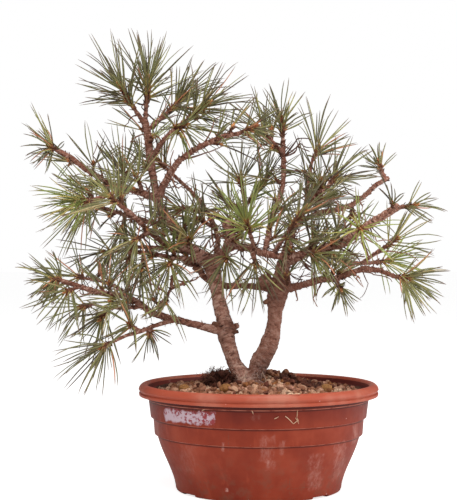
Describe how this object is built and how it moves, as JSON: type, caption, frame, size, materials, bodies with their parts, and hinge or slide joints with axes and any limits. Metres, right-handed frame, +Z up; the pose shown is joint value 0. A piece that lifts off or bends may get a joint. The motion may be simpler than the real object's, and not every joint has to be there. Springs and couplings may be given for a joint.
{
  "type": "bonsai tree in a pot",
  "caption": "Twin-trunk bonsai pine with tufts of long needles, in a round terracotta-coloured training pot of gritty soil that stands on its flat foot.",
  "frame": {"origin": "centre of the pot's flat foot, on the surface it stands on", "axes": "+Z up the tree, +X to the right and +Y to the back when the tree is seen from its front"},
  "size_m": [0.5064, 0.2877, 0.5404],
  "materials": {
    "terracotta": "satin",
    "grit": "matte",
    "bark": "matte",
    "lava": "matte",
    "root_moss": "matte",
    "needles_dark": "satin",
    "needles_bright": "satin"
  },
  "bodies": {
    "root": {"lava_lump_front": "lava", "lava_lump_left": "lava", "lava_lump_right": "lava", "moss_clump": "root_moss", "needles_back_left": "needles_dark", "needles_back_side": "needles_dark", "needles_back_tip": "needles_dark", "needles_bright_left": "needles_bright", "needles_centre_back_side": "needles_dark", "needles_centre_back_tip": "needles_dark", "needles_centre_bright": "needles_bright", "needles_centre_candle": "needles_dark", "needles_centre_left": "needles_dark", "needles_crown_far_right": "needles_dark", "needles_crown_left": "needles_dark", "needles_crown_right": "needles_dark", "needles_crown_top": "needles_dark", "needles_crown_under": "needles_dark", "needles_cut_under": "needles_dark", "needles_far_left": "needles_dark", "needles_hanging_left": "needles_dark", "needles_head_front": "needles_dark", "needles_head_tip": "needles_dark", "needles_head_under": "needles_dark", "needles_leader_foot": "needles_dark", "needles_low_back": "needles_dark", "needles_low_front": "needles_dark", "needles_low_front_mid": "needles_dark", "needles_low_front_under": "needles_dark", "needles_low_side": "needles_dark", "needles_low_side_mid": "needles_dark", "needles_low_tip": "needles_dark", "needles_low_under": "needles_dark", "needles_lower_left": "needles_dark", "needles_mid_back": "needles_dark", "needles_mid_back_under": "needles_dark", "needles_mid_front": "needles_dark", "needles_mid_front_under": "needles_dark", "needles_reach_bright": "needles_bright", "needles_reach_tip": "needles_dark", "needles_reach_twiglet": "needles_dark", "needles_right_back_mid": "needles_dark", "needles_right_back_tip": "needles_dark", "needles_right_low_tip": "needles_dark", "needles_right_low_under": "needles_dark", "needles_right_mid_rise": "needles_dark", "needles_right_mid_tip": "needles_bright", "needles_rise_side": "needles_dark", "needles_rise_tip": "needles_dark", "needles_thin_mid": "needles_dark", "needles_thin_tip": "needles_dark", "needles_twig_top": "needles_dark", "needles_upper_inner": "needles_dark", "needles_upper_upright": "needles_dark", "needles_upright_left": "needles_dark", "needles_upright_top": "needles_dark", "pot": "terracotta", "substrate": "grit", "trunk_and_branches": "bark"}
  },
  "joints": []
}
